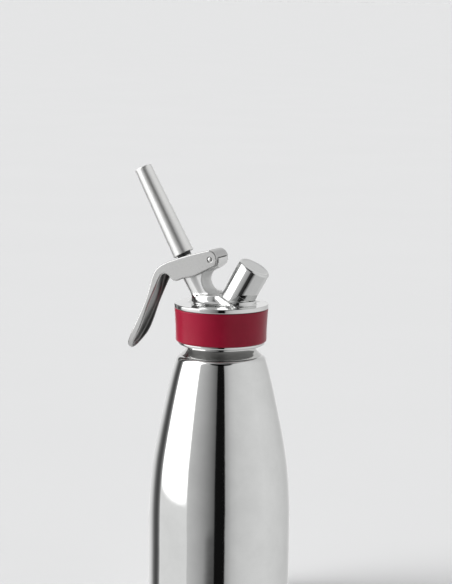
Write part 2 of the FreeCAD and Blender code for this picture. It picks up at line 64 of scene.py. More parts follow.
# ---------------------------------------------------------------- numeric helpers
def cspline(pts, n, t0=None, t1=None):
    """Points on a smooth cubic through pts, by chord length; natural ends unless a direction is given."""
    P = np.asarray(pts, float)
    h = np.linalg.norm(np.diff(P, axis=0), axis=1)
    u = np.concatenate([[0], np.cumsum(h)])
    m = len(P)
    A = np.zeros((m, m))
    R = np.zeros_like(P)
    for i in range(1, m - 1):
        A[i, i - 1], A[i, i], A[i, i + 1] = h[i], 2 * (h[i - 1] + h[i]), h[i - 1]
        R[i] = 3 * (h[i] * (P[i] - P[i - 1]) / h[i - 1] + h[i - 1] * (P[i + 1] - P[i]) / h[i])
    if t0 is None:
        A[0, 0], A[0, 1] = 2, 1
        R[0] = 3 * (P[1] - P[0]) / h[0]
    else:
        A[0, 0] = 1
        R[0] = t0
    if t1 is None:
        A[-1, -1], A[-1, -2] = 2, 1
        R[-1] = 3 * (P[-1] - P[-2]) / h[-1]
    else:
        A[-1, -1] = 1
        R[-1] = t1
    T = np.linalg.solve(A, R)
    q = np.linspace(0, u[-1], n)
    k = np.clip(np.searchsorted(u, q, side="right") - 1, 0, m - 2)
    s = ((q - u[k]) / h[k])[:, None]
    hk = h[k][:, None]
    return ((2 * s ** 3 - 3 * s ** 2 + 1) * P[k] + (s ** 3 - 2 * s ** 2 + s) * hk * T[k]
            + (-2 * s ** 3 + 3 * s ** 2) * P[k + 1] + (s ** 3 - s ** 2) * hk * T[k + 1])


def arc2(c, r, a0, a1, n):
    a = np.radians(np.linspace(a0, a1, n))
    return np.stack([c[0] + r * np.cos(a), c[1] + r * np.sin(a)], 1)


def line2(a, b, step):
    a, b = np.asarray(a, float), np.asarray(b, float)
    n = max(2, int(np.linalg.norm(b - a) / step) + 1)
    return a + (b - a) * np.linspace(0, 1, n)[:, None]


def path2(*bits):
    """One list of points from several, without doubled joints."""
    out = []
    for b in bits:
        for p in np.atleast_2d(np.asarray(b, float)):
            if not out or np.linalg.norm(np.asarray(out[-1]) - p) > 1e-4:
                out.append(tuple(p))
    if np.linalg.norm(np.subtract(out[0], out[-1])) < 1e-4:
        out.pop()
    return out


def smooth01(x):
    x = np.clip(x, 0, 1)
    return x * x * (3 - 2 * x)


def axis_matrix(origin, axis):
    """Row frame matrix whose Z runs along an axis in the plane Y = 0, in metres."""
    z = Vector(axis)
    y = Vector((0, 1, 0))
    x = y.cross(z)
    m = Matrix((x, y, z)).transposed().to_4x4()
    m.translation = Vector(origin) * MM
    return m


def new_mesh(name, verts, faces, material, body, nodes=(), smooth=True, normals=None, matrix=None, crease=30.0):
    """A piece from points in millimetres. With no normals given, edges sharper than crease stay sharp."""
    me = bpy.data.meshes.new(name)
    verts = np.asarray(verts, float) * MM
    me.from_pydata([tuple(v) for v in verts], [], [tuple(int(i) for i in f) for f in faces])
    me.validate()
    me.update()
    if smooth:
        me.polygons.foreach_set("use_smooth", [True] * len(me.polygons))
    ob = bpy.data.objects.new(name, me)
    bpy.context.scene.collection.objects.link(ob)
    if matrix is not None:
        ob.matrix_world = matrix
    if normals is not None:
        me.normals_split_custom_set_from_vertices([tuple(n) for n in normals])
    elif smooth:
        me.set_sharp_from_angle(angle=math.radians(crease))
    me.materials.append(material)
    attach(ob, body)
    if nodes:
        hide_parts(*nodes)
    return ob


def lathe(name, profile, material, body, nodes=(), segs=192, origin=(0, 0, 0), axis=(0, 0, 1), shape=None, crease=30.0):
    """A closed ring section of (radius, height) points turned about an axis. shape(r, angle, z) may move the radius."""
    prof = np.asarray(profile, float)
    n = len(prof)
    area = 0.5 * np.sum(prof[:, 0] * np.roll(prof[:, 1], -1) - np.roll(prof[:, 0], -1) * prof[:, 1])
    if area < 0:
        prof = prof[::-1]
    th = np.linspace(0, 2 * math.pi, segs, endpoint=False)
    rr = np.repeat(prof[:, 0][:, None], segs, 1)
    zz = np.repeat(prof[:, 1][:, None], segs, 1)
    tt = np.repeat(th[None, :], n, 0)
    if shape is not None:
        rr = shape(rr, tt, zz)
    verts = np.stack([rr * np.cos(tt), rr * np.sin(tt), zz], 2)
    on_axis = prof[:, 0] < 1e-6
    index = np.arange(n * segs).reshape(n, segs)
    faces = []
    for i in range(n):
        j = (i + 1) % n
        if on_axis[i] and on_axis[j]:
            continue
        for k in range(segs):
            l = (k + 1) % segs
            a, b, c, d = index[i, k], index[i, l], index[j, l], index[j, k]
            if on_axis[i]:
                faces.append((index[i, 0], c, d))
            elif on_axis[j]:
                faces.append((a, b, index[j, 0]))
            else:
                faces.append((a, b, c, d))
    verts = verts.reshape(-1, 3)
    used = np.zeros(len(verts), bool)
    for f in faces:
        used[list(f)] = True
    remap = np.cumsum(used) - 1
    faces = [tuple(remap[list(f)]) for f in faces]
    return new_mesh(name, verts[used], faces, material, body, nodes, matrix=axis_matrix(origin, axis), crease=crease)


# ---------------------------------------------------------------- implicit solids
def smin(a, b, k):
    h = np.clip(0.5 + 0.5 * (b - a) / k, 0, 1)
    return b * (1 - h) + a * h - k * h * (1 - h)


def smax(a, b, k):
    return -smin(-a, -b, k)


def s_cyl(p, c, ax, r, h0, h1, rnd=0.0, r1=None):
    """Cylinder, or a slow cone if r1 is given, along ax from h0 to h1, with rounded rims."""
    q = p - c
    t = q @ ax
    rad = np.sqrt(np.maximum((q * q).sum(1) - t * t, 0))
    rr = r if r1 is None else r + (r1 - r) * (t - h0) / (h1 - h0)
    dx = rad - rr + rnd
    dy = np.abs(t - 0.5 * (h0 + h1)) - 0.5 * (h1 - h0) + rnd
    return np.minimum(np.maximum(dx, dy), 0) + np.sqrt(np.maximum(dx, 0) ** 2 + np.maximum(dy, 0) ** 2) - rnd


def poly2(x, z, poly):
    """Signed distance to a closed polygon in a plane, negative inside."""
    poly = np.asarray(poly, float)
    d = np.full(x.shape, 1e18)
    s = np.ones(x.shape)
    m = len(poly)
    for i in range(m):
        a, b = poly[i], poly[i - 1]
        ex, ez = b[0] - a[0], b[1] - a[1]
        wx, wz = x - a[0], z - a[1]
        k = np.clip((wx * ex + wz * ez) / (ex * ex + ez * ez), 0, 1)
        bx, bz = wx - ex * k, wz - ez * k
        d = np.minimum(d, bx * bx + bz * bz)
        c1, c2, c3 = z >= a[1], z < b[1], ex * wz > ez * wx
        flip = (c1 & c2 & c3) | (~c1 & ~c2 & ~c3)
        s = np.where(flip, -s, s)
    return s * np.sqrt(d)


class Plane2:
    """A polygon's signed distance on a fine grid, read between its points."""

    def __init__(self, poly, pad=6.0, h=0.12):
        poly = np.asarray(poly, float)
        self.lo = poly.min(0) - pad
        self.h = h
        n = np.ceil((poly.max(0) + pad - self.lo) / h).astype(int) + 2
        self.n = n
        gx = self.lo[0] + h * np.arange(n[0])
        gz = self.lo[1] + h * np.arange(n[1])
        X, Z = np.meshgrid(gx, gz, indexing="ij")
        self.f = poly2(X.ravel(), Z.ravel(), poly).reshape(n[0], n[1])

    def __call__(self, x, z):
        u = np.clip((x - self.lo[0]) / self.h, 0, self.n[0] - 1.001)
        v = np.clip((z - self.lo[1]) / self.h, 0, self.n[1] - 1.001)
        i, j = u.astype(int), v.astype(int)
        a, b = u - i, v - j
        f = self.f
        return (f[i, j] * (1 - a) * (1 - b) + f[i + 1, j] * a * (1 - b) + f[i, j + 1] * (1 - a) * b + f[i + 1, j + 1] * a * b)


CORNERS = np.array([[i, j, k] for i in (0, 1) for j in (0, 1) for k in (0, 1)])
EDGES = [(a, b) for a in range(8) for b in range(a + 1, 8) if np.abs(CORNERS[a] - CORNERS[b]).sum() == 1]


def gradient(f, p, e=0.03):
    g = np.zeros_like(p)
    for i in range(3):
        d = np.zeros(3)
        d[i] = e
        g[:, i] = (f(p + d) - f(p - d)) / (2 * e)
    return g


def surface(f, lo, hi, h, rounds=4):
    """Quads on the zero surface of f, points pulled exactly onto it, with the surface's own normals."""
    lo, hi = np.asarray(lo, float), np.asarray(hi, float)
    H = 4 * h
    nb = np.ceil((hi - lo) / H).astype(int) + 1
    gx = [lo[i] + H * np.arange(nb[i] + 1) for i in range(3)]
    G = np.stack(np.meshgrid(*gx, indexing="ij"), -1).reshape(-1, 3)
    C = f(G).reshape(nb + 1)
    small = np.abs(C)
    for ax in range(3):
        a = np.take(small, range(0, small.shape[ax] - 1), ax)
        b = np.take(small, range(1, small.shape[ax]), ax)
        small = np.minimum(a, b)
    near = small < H * 2.2
    nf = nb * 4 + 1
    F = np.full(nf, 1.0, np.float32)
    # coarse sign everywhere, exact values near the surface
    ci = [np.minimum((np.arange(nf[i]) + 2) // 4, nb[i]) for i in range(3)]
    F[:] = np.where(C[np.ix_(*ci)] < 0, -1.0, 1.0)
    take = np.zeros(nf, bool)
    ids = np.argwhere(near)
    for (i, j, k) in ids:
        take[4 * i:4 * i + 5, 4 * j:4 * j + 5, 4 * k:4 * k + 5] = True
    at = np.argwhere(take)
    vals = np.empty(len(at), np.float32)
    for s in range(0, len(at), 400000):
        vals[s:s + 400000] = f(lo + h * at[s:s + 400000])
    F[take] = vals
    S = F < 0
    nc = nf - 1
    count = np.zeros(nc, np.int8)
    for c in CORNERS:
        count += S[c[0]:c[0] + nc[0], c[1]:c[1] + nc[1], c[2]:c[2] + nc[2]]
    active = (count > 0) & (count < 8)
    cells = np.argwhere(active)
    idx = np.full(nc, -1, np.int64)
    idx[active] = np.arange(len(cells))
    acc = np.zeros((len(cells), 3))
    num = np.zeros(len(cells))
    cv = [F[cells[:, 0] + c[0], cells[:, 1] + c[1], cells[:, 2] + c[2]] for c in CORNERS]
    for a, b in EDGES:
        cross = (cv[a] < 0) != (cv[b] < 0)
        t = np.where(cross, cv[a] / np.where(cross, cv[a] - cv[b], 1), 0)
        p = CORNERS[a] + (CORNERS[b] - CORNERS[a]) * t[:, None]
        acc += np.where(cross[:, None], p, 0)
        num += cross
    v = lo + h * (cells + acc / num[:, None])
    quads = []
    for ax in range(3):
        o1, o2 = (ax + 1) % 3, (ax + 2) % 3
        sl_a = [slice(None)] * 3
        sl_b = [slice(None)] * 3
        sl_a[ax], sl_b[ax] = slice(0, -1), slice(1, None)
        sa, sb = S[tuple(sl_a)], S[tuple(sl_b)]
        e = np.argwhere(sa != sb)
        ok = (e[:, o1] > 0) & (e[:, o2] > 0) & (e[:, o1] < nc[o1]) & (e[:, o2] < nc[o2])
        e = e[ok]
        inside_first = sa[e[:, 0], e[:, 1], e[:, 2]]
        q = []
        for d1, d2 in ((-1, -1), (0, -1), (0, 0), (-1, 0)):
            w = e.copy()
            w[:, o1] += d1
            w[:, o2] += d2
            q.append(idx[w[:, 0], w[:, 1], w[:, 2]])
        q = np.stack(q, 1)
        q[~inside_first] = q[~inside_first][:, ::-1]
        quads.append(q)
    quads = np.concatenate(quads)
    start = v.copy()
    for _ in range(rounds):
        g = gradient(f, v)
        val = f(v)
        step = -(val / np.maximum((g * g).sum(1), 0.05))[:, None] * g
        long = np.linalg.norm(step, axis=1)
        step *= np.minimum(1, 0.5 * h / np.maximum(long, 1e-9))[:, None]
        v = v + step
    far = np.linalg.norm(v - start, axis=1) > 1.2 * h
    v[far] = start[far]
    g = gradient(f, v)
    n = g / np.maximum(np.linalg.norm(g, axis=1), 1e-9)[:, None]
    return v, quads, n


# ---------------------------------------------------------------- materials
class Mat:
    def __init__(self, name, **sockets):
        self.m = bpy.data.materials.new(name)
        self.m.use_nodes = True
        self.nt = self.m.node_tree
        self.b = self.nt.nodes["Principled BSDF"]
        for k, v in sockets.items():
            self.b.inputs[k.replace("_", " ")].default_value = v

    def node(self, kind, **props):
        n = self.nt.nodes.new(kind)
        for k, v in props.items():
            setattr(n, k, v)
        return n

    def link(self, a, b):
        self.nt.links.new(a, b)

    def coords(self, scale=(1, 1, 1)):
        tc = self.node("ShaderNodeTexCoord")
        mp = self.node("ShaderNodeMapping")
        mp.inputs["Scale"].default_value = scale
        self.link(tc.outputs["Object"], mp.inputs["Vector"])
        return mp.outputs["Vector"]

    def ring_coords(self, around, along, out, place=None):
        """(angle, height, radius) about the object's Z, or about the Z of a placed frame, each scaled, so that noise runs in rings."""
        tc = self.node("ShaderNodeTexCoord")
        sp = self.node("ShaderNodeSeparateXYZ")
        here = tc.outputs["Object"]
        if place is not None:
            mp = self.node("ShaderNodeMapping", vector_type="TEXTURE")
            mp.inputs["Location"].default_value = place.translation
            mp.inputs["Rotation"].default_value = place.to_euler()
            self.link(here, mp.inputs["Vector"])
            here = mp.outputs["Vector"]
        self.link(here, sp.inputs[0])
        at = self.math("ARCTAN2", sp.outputs["Y"], sp.outputs["X"])
        r2 = self.math("ADD", self.math("MULTIPLY", sp.outputs["X"], sp.outputs["X"]), self.math("MULTIPLY", sp.outputs["Y"], sp.outputs["Y"]))
        rr = self.math("SQRT", r2)
        cb = self.node("ShaderNodeCombineXYZ")
        # the angle enters as a point on a circle, so that the rings close without a seam
        self.link(self.math("MULTIPLY", self.math("COSINE", at), around), cb.inputs[0])
        self.link(self.math("ADD", self.math("MULTIPLY", self.math("SINE", at), around), self.math("MULTIPLY", rr, out)), cb.inputs[1])
        self.link(self.math("MULTIPLY", sp.outputs["Z"], along), cb.inputs[2])
        return cb.outputs[0]

    def math(self, op, a, b=None, clamp=False):
        n = self.node("ShaderNodeMath", operation=op, use_clamp=clamp)
        for i, x in enumerate((a, b)):
            if x is None:
                continue
            if isinstance(x, (int, float)):
                n.inputs[i].default_value = x
            else:
                self.link(x, n.inputs[i])
        return n.outputs[0]

    def noise(self, vec, scale, detail=3.0, rough=0.5, distortion=0.0):
        n = self.node("ShaderNodeTexNoise")
        n.inputs["Scale"].default_value = scale
        n.inputs["Detail"].default_value = detail
        n.inputs["Roughness"].default_value = rough
        n.inputs["Distortion"].default_value = distortion
        self.link(vec, n.inputs["Vector"])
        return n.outputs["Fac"]

    def remap(self, x, lo, hi, a, b):
        n = self.node("ShaderNodeMapRange")
        for i, v in zip(("From Min", "From Max", "To Min", "To Max"), (lo, hi, a, b)):
            n.inputs[i].default_value = v
        self.link(x, n.inputs["Value"])
        return n.outputs["Result"]

    def mix(self, fac, a, b):
        n = self.node("ShaderNodeMix", data_type="RGBA")
        self.link(fac, n.inputs[0])
        for i, c in ((6, a), (7, b)):
            if isinstance(c, tuple):
                n.inputs[i].default_value = (*c, 1)
            else:
                self.link(c, n.inputs[i])
        return n.outputs[2]

    def bump(self, height, strength, distance, normal=None):
        n = self.node("ShaderNodeBump")
        n.inputs["Strength"].default_value = strength
        n.inputs["Distance"].default_value = distance
        self.link(height, n.inputs["Height"])
        if normal is not None:
            self.link(normal, n.inputs["Normal"])
        return n.outputs["Normal"]


def polished(name, color=(0.66, 0.665, 0.66), rough=(0.035, 0.075), wave=0.00002, rings=False, satin_arm=None):
    """Mirror polished stainless steel: faint cloudiness, hairline polishing marks, slight waviness.
    satin_arm is the roughness range of the column and the arm, which are left satin above the dome."""
    m = Mat(name, Metallic=1.0)
    obj = m.coords()
    cloud = m.noise(obj, 45, 4, 0.6)
    tone = m.remap(cloud, 0.3, 0.7, 0.0, 1.0)
    dark = tuple(c * 0.93 for c in color)
    base = m.mix(tone, dark, color)
    if rings:
        hair = m.noise(m.ring_coords(6.0, 2200.0, 2200.0), 1.0, 2, 0.6)
    else:
        hair = m.noise(m.coords((260, 900, 2600)), 1.0, 3, 0.65, 0.4)
    smear = m.noise(obj, 160, 3, 0.6)
    r = m.math("ADD", m.math("MULTIPLY", hair, 0.5), m.math("MULTIPLY", smear, 0.5))
    rr = m.remap(r, 0.3, 0.7, rough[0], rough[1])
    n1 = m.bump(m.noise(obj, 55, 2, 0.4), 0.35, wave * 10)
    n2 = m.bump(hair, 0.05, 0.00002, n1)
    if satin_arm is not None:
        tc = m.node("ShaderNodeTexCoord")
        across = m.node("ShaderNodeVectorMath", operation="DOT_PRODUCT")
        m.link(tc.outputs["Object"], across.inputs[0])
        across.inputs[1].default_value = tuple(B1)
        sp = m.node("ShaderNodeSeparateXYZ")
        m.link(tc.outputs["Object"], sp.inputs[0])
        edge = float(B0 @ B1) * MM - BOSS_R * MM
        left = m.remap(across.outputs["Value"], edge - 0.0006, edge + 0.0004, 1.0, 0.0)
        mask = m.math("MULTIPLY", left, m.remap(sp.outputs["Z"], 0.2346, 0.2354, 0.0, 1.0))
        fine = m.noise(obj, 1900, 3, 0.6)
        mx = m.node("ShaderNodeMix", data_type="FLOAT")
        m.link(mask, mx.inputs[0])
        m.link(rr, mx.inputs[2])
        m.link(m.remap(m.math("ADD", m.math("MULTIPLY", fine, 0.6), m.math("MULTIPLY", cloud, 0.4)), 0.3, 0.7, satin_arm[0], satin_arm[1]), mx.inputs[3])
        cut = m.node("ShaderNodeAttribute", attribute_name="cut")
        rr = m.math("ADD", mx.outputs[0], m.math("MULTIPLY", cut.outputs["Fac"], 0.22))
        n2 = m.bump(m.math("MULTIPLY", fine, mask), 0.10, 0.00003, n2)
        base = m.mix(mask, base, m.mix(tone, (0.67, 0.672, 0.668), (0.72, 0.722, 0.718)))
    m.link(base, m.b.inputs["Base Color"])
    m.link(rr, m.b.inputs["Roughness"])
    m.link(n2, m.b.inputs["Normal"])
    return m.m


def satin(name, color=(0.62, 0.62, 0.61), rough=(0.26, 0.36), stretch=(700, 2600, 700), spin=0.0, edge=None):
    """Satin blasted and brushed stainless steel: fine grain, faint streaks along the part."""
    m = Mat(name, Metallic=1.0)
    tc = m.node("ShaderNodeTexCoord")
    rot = m.node("ShaderNodeVectorRotate", rotation_type="Y_AXIS")
    rot.inputs["Angle"].default_value = spin
    m.link(tc.outputs["Object"], rot.inputs["Vector"])
    mp = m.node("ShaderNodeMapping")
    mp.inputs["Scale"].default_value = stretch
    m.link(rot.outputs[0], mp.inputs["Vector"])
    streak = m.noise(mp.outputs[0], 1.0, 4, 0.7)
    grain = m.noise(m.coords(), 2600, 2, 0.6)
    cloud = m.noise(m.coords(), 38, 3, 0.5)
    t = m.math("ADD", m.math("MULTIPLY", streak, 0.6), m.math("MULTIPLY", cloud, 0.4))
    dark = tuple(c * 0.88 for c in color)
    base = m.mix(m.remap(t, 0.35, 0.65, 0, 1), dark, color)
    rr = m.remap(m.math("ADD", m.math("MULTIPLY", streak, 0.5), m.math("MULTIPLY", grain, 0.5)), 0.3, 0.7, rough[0], rough[1])
    if edge is not None:
        at = m.node("ShaderNodeAttribute", attribute_name=edge)
        rr = m.math("MULTIPLY", rr, m.remap(at.outputs["Fac"], 0.0, 1.0, 1.0, 0.2))
        # where the inside attribute is set the base goes dark: painted shade in the hollow of the part
        inside = m.node("ShaderNodeAttribute", attribute_name="inside")
        base = m.mix(inside.outputs["Fac"], base, m.mix(cloud, (0.20, 0.20, 0.20), (0.29, 0.29, 0.285)))
    m.link(base, m.b.inputs["Base Color"])
    m.link(rr, m.b.inputs["Roughness"])
    n1 = m.bump(streak, 0.12, 0.00004)
    m.link(m.bump(grain, 0.10, 0.00003, n1), m.b.inputs["Normal"])
    return m.m


def turned(name, color=(0.63, 0.63, 0.62), rough=(0.12, 0.24), along=1500.0, aniso=0.5, bump=0.12, place=None):
    """Turned or ring-brushed steel: fine rings about the piece's own axis."""
    m = Mat(name, Metallic=1.0, Anisotropic=aniso)
    rc = m.ring_coords(4.0, along, along, place)
    ring = m.noise(rc, 1.0, 3, 0.75)
    cloud = m.noise(m.coords(), 60, 3, 0.5)
    dark = tuple(c * 0.88 for c in color)
    m.link(m.mix(m.remap(m.math("ADD", m.math("MULTIPLY", ring, 0.6), m.math("MULTIPLY", cloud, 0.4)), 0.35, 0.65, 0, 1), dark, color), m.b.inputs["Base Color"])
    m.link(m.remap(ring, 0.3, 0.7, rough[0], rough[1]), m.b.inputs["Roughness"])
    if aniso > 0:
        tg = m.node("ShaderNodeTangent", direction_type="RADIAL", axis="Z")
        m.link(tg.outputs[0], m.b.inputs["Tangent"])
    m.link(m.bump(ring, bump, 0.00003), m.b.inputs["Normal"])
    return m.m


def silicone(name, color, dark, rough=(0.42, 0.55), sss=0.0, grain=1400.0, spec=0.5):
    m = Mat(name, Metallic=0.0, Specular_IOR_Level=spec,
            Subsurface_Weight=sss, Subsurface_Scale=0.002)
    obj = m.coords()
    cloud = m.noise(obj, 70, 4, 0.6)
    m.link(m.mix(m.remap(cloud, 0.3, 0.7, 0, 1), dark, color), m.b.inputs["Base Color"])
    fine = m.noise(obj, grain, 3, 0.6)
    wipe = m.noise(m.coords((90, 90, 30)), 1.0, 3, 0.6)
    m.link(m.remap(m.math("ADD", m.math("MULTIPLY", fine, 0.4), m.math("MULTIPLY", wipe, 0.6)), 0.3, 0.7, rough[0], rough[1]), m.b.inputs["Roughness"])
    n1 = m.bump(m.noise(obj, 120, 2, 0.5), 0.10, 0.0003)
    m.link(m.bump(fine, 0.18, 0.00005, n1), m.b.inputs["Normal"])
    return m.m


M_BOTTLE = polished("steel_polished_bottle", rings=True)
M_HEAD = polished("steel_polished_head", wave=0.000012, satin_arm=(0.27, 0.36))
M_CAP = polished("steel_polished_cap", rings=True, rough=(0.04, 0.085))
M_LEVER = satin("steel_satin_lever", color=(0.52, 0.52, 0.515), spin=math.radians(35), edge="edge")
M_NOZZLE = turned("steel_satin_nozzle", color=(0.80, 0.80, 0.79), rough=(0.31, 0.39), along=2600.0, aniso=0.0, bump=0.05, place=axis_matrix(V0, D))
M_TURNED = turned("steel_turned")
M_NECK = turned("steel_neck", rough=(0.05, 0.11), along=1800.0, aniso=0.25, bump=0.04)
# rough steel of the collar's bore and the lip's underside, its dark colour painted shade
M_BORED_SHADE = turned("steel_bored_painted_shade", color=(0.30, 0.30, 0.295), rough=(0.3, 0.42), along=1200.0, aniso=0.2)
M_SPRING = turned("steel_spring", color=(0.56, 0.56, 0.56), rough=(0.2, 0.34), along=900.0, aniso=0.2)
M_BAND = silicone("silicone_crimson", (0.236, 0.0026, 0.0215), (0.212, 0.0020, 0.0178), rough=(0.26, 0.34), spec=0.2)
M_CLEAR = silicone("silicone_milky", (0.74, 0.74, 0.71), (0.66, 0.66, 0.63), rough=(0.3, 0.42), sss=0.3)
M_RUBBER = silicone("rubber_black", (0.022, 0.022, 0.023), (0.014, 0.014, 0.015), rough=(0.34, 0.5))

for node, mat in {
    "bottle_shell": M_BOTTLE, "neck_ring": M_NECK, "head_gasket": M_CLEAR, "head_casting": M_HEAD, "head_collar": M_HEAD, "grip_band": M_BAND,
    "inlet_nipple": M_TURNED,
    "guide_bush": M_TURNED, "valve_spring": M_SPRING, "valve_stem": M_TURNED, "stem_oring": M_RUBBER, "valve_seal": M_RUBBER,
    "spring_cup": M_TURNED, "nozzle_adapter": M_TURNED, "nozzle_seal": M_RUBBER, "nozzle": M_NOZZLE, "charger_seal": M_RUBBER,
    "piercing_pin": M_TURNED, "check_ball": M_TURNED, "check_spring": M_SPRING, "inlet_retainer": M_TURNED, "inlet_cap": M_CAP,
    "cap_seal": M_CLEAR, "pivot_pin": M_TURNED, "lever": M_LEVER,
}.items():
    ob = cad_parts[node]
    ob.data.materials.clear()
    ob.data.materials.append(mat)

# ---------------------------------------------------------------- bottle
SEG = 256
tan1 = np.subtract(BOTTLE_OUT[-1], BOTTLE_OUT[-2])
tan1 = tan1 / np.linalg.norm(tan1)


def bottle_side(off):
    pts = [(r - off, z) for r, z in BOTTLE_OUT]
    return cspline(pts, 90, t0=(0, 1), t1=tan1)


def arc3(p0, pm, p2, n):
    """Points on the circle through three points."""
    (ax, ay), (bx, by), (cx, cy) = p0, pm, p2
    d = 2 * (ax * (by - cy) + bx * (cy - ay) + cx * (ay - by))
    ux = ((ax * ax + ay * ay) * (by - cy) + (bx * bx + by * by) * (cy - ay) + (cx * cx + cy * cy) * (ay - by)) / d
    uy = ((ax * ax + ay * ay) * (cx - bx) + (bx * bx + by * by) * (ax - cx) + (cx * cx + cy * cy) * (bx - ax)) / d
    a0, a2 = math.atan2(ay - uy, ax - ux), math.atan2(cy - uy, cx - ux)
    if abs(a2 - a0) > math.pi:
        a2 += 2 * math.pi * (1 if a2 < a0 else -1)
    r = math.hypot(ax - ux, ay - uy)
    a = np.linspace(a0, a2, n)
    return np.stack([ux + r * np.cos(a), uy + r * np.sin(a)], 1)


def shoulder(off):
    p0 = (BOTTLE_OUT[-1][0] - off, BOTTLE_OUT[-1][1])
    p2 = (30.2 - off, SHOULDER_Z - off)
    pm = (p0[0] * 0.5 + p2[0] * 0.5 + 0.39, p0[1] * 0.5 + p2[1] * 0.5 + 0.36)
    return arc3(p0, pm, p2, 16)


rb = BOTTLE_OUT[0][0]
outside = path2([(0, 0.9)], line2((0, 0.9), (30.0, 0.9), 3), cspline([(30.0, 0.9), (33.5, 0.55), (37.0, 0.05)], 8), line2((37.0, 0.02), (rb - BASE_CORNER, 0.0), 2),
                arc2((rb - BASE_CORNER, BASE_CORNER), BASE_CORNER, -90, 0, 22), line2((rb, BASE_CORNER), BOTTLE_OUT[0], 2.0),
                bottle_side(0), shoulder(0), [(NECK_HOLE + 0.02, SHOULDER_Z)])
ri = rb - WALL
inside = path2([(NECK_HOLE + 0.02, SHOULDER_Z - WALL)], shoulder(WALL)[::-1], bottle_side(WALL)[::-1], line2((ri, 60.0), (ri, WALL + 0.3 + 6.5), 4),
               arc2((ri - 6.5, WALL + 0.3 + 6.5), 6.5, 0, -90, 12), [(0, WALL + 0.6)])
lathe("bottle_body", path2(outside, inside), M_BOTTLE, "bottle", ("bottle_shell",), SEG)

# Neck: foot swept up from the shoulder, plain neck, rolled thread and rounded mouth.
foot = cspline([(NECK_R, 197.6), (NECK_R + 0.06, 196.8), (NECK_R + 0.3, 196.0), (NECK_R + 0.75, 195.1), (NECK_R + 1.45, 194.2), (27.6, 193.1), (28.75, 192.0),
                (FOOT_R - 0.1, 190.78)], 44, t0=(0, -1), t1=(0.72, -0.69))
neck = path2(arc2((NECK_R - 0.8, RIM_Z - 0.8), 0.8, 90, 0, 7), line2((NECK_R, RIM_Z - 0.8), (NECK_R, 197.6), 0.28), foot,
             [(FOOT_R - 0.02, 190.72), (FOOT_R, SHOULDER_Z + 0.02), (NECK_HOLE, SHOULDER_Z + 0.02), (NECK_HOLE, SHOULDER_Z - 3.2), (NECK_BORE + 1.2, SHOULDER_Z - 3.2)],
             arc2((NECK_BORE + 1.2, SHOULDER_Z - 2.0), 1.2, -90, -180, 6), line2((NECK_BORE, SHOULDER_Z - 2.0), (NECK_BORE, RIM_Z - 0.8), 2.0),
             arc2((NECK_BORE + 0.8, RIM_Z - 0.8), 0.8, 180, 90, 7))


def neck_thread(r, th, z):
    pitch, w, ramp, h = 4.0, 1.1, 0.8, NECK_THREAD_R - NECK_R - 0.03
    u = (z / pitch - th / (2 * math.pi)) % 1.0
    dz = np.abs(u - 0.5) * pitch
    zc = z - (u - 0.5) * pitch
    up = smooth01((w / 2 + ramp - dz) / ramp) * smooth01((zc - 200.2) / 1.2) * smooth01((215.0 - zc) / 1.2)
    return np.where((r > NECK_R - 0.01) & (z > 198.5) & (z < 217.0), r + h * up, r)


lathe("bottle_neck", neck, M_NECK, "bottle", ("neck_ring",), SEG, shape=neck_thread, crease=50)

# ---------------------------------------------------------------- head: collar with its lip
lip = arc2((LIP_R - 1.9, LIP_Z + 1.9), 1.9, -90, 0, 12)
collar = path2([(SKIRT_BORE + 0.9, LIP_Z)], line2((SKIRT_BORE + 1.4, LIP_Z), (LIP_R - 1.9, LIP_Z), 1.0), lip, arc2((LIP_R - 0.35, BAND_Z0 - 0.45), 0.35, 0, 90, 5),
               [(SKIRT_R, BAND_Z0 - 0.1)], line2((SKIRT_R, BAND_Z0), (SKIRT_R, CEILING_Z), 2.0), line2((SKIRT_BORE, CEILING_Z), (SKIRT_BORE, LIP_Z + 1.0), 2.0))

# ---------------------------------------------------------------- head: puck, disc and casting as one smooth surface
ARM = [(-12.0, 230.0), (-24.0, 250.8), (-14.8, 262.4), (-5.3, 262.4), (-0.2, 257.2), (-3.4, 254.2), (8.0, 254.2), (8.0, 238.4), (5.0, 238.4), (5.0, 231.0)]
HEEL = [(-11.9, 262.4), (-5.3, 262.4), (-5.3, 257.2), (-9.5, 255.0), (-14.0, 252.9), (-16.0, 252.6)]
Z_AX, Y_AX = np.array([0.0, 0, 1]), np.array([0.0, 1, 0])


def s_dome(p):
    """Oval mound under the column, with a spur each side that runs down from its crest in front of the inlet's plinth."""
    x, y, z = p[:, 0], p[:, 1], p[:, 2]
    half = 12.4 - 3.6 * smooth01((x + 14.0) / 25.0)
    X, Y = (x + 0.3) / 23.3, y / half
    q = np.sqrt(X * X + Y * Y + 1e-9)
    wall = (q - 1) * q / np.sqrt((X / 23.3) ** 2 + (Y / half) ** 2 + 1e-9)
    crest = 235.7 - 1.3 * smooth01((-x - 6.0) / 16.0) - 1.6 * smooth01((x - 2.0) / 12.0)
    lean = 0.12 + 0.42 * Y * Y / (X * X + Y * Y + 1e-6)
    f = (wall - (crest - z) * lean) / np.sqrt(1 + lean * lean)
    f = smax(f, z - crest, 1.2)
    f = smin(f, z - DISC_TOP, 3.4)
    a, b = np.array([3.0, -9.3, 233.7]), np.array([21.0, -19.0, 227.9])
    w = p * np.array([1.0, 0, 1.0]) - np.abs(y)[:, None] * np.array([0, 1.0, 0]) - a
    t = np.clip(w @ (b - a) / ((b - a) @ (b - a)), 0, 1)
    spur = np.linalg.norm(w - t[:, None] * (b - a), axis=1) - 1.8 + 1.0 * t
    f = smin(f, spur, 2.7)
    return np.maximum(np.maximum(f, np.hypot(x, y) - 33.0), 226.5 - z)


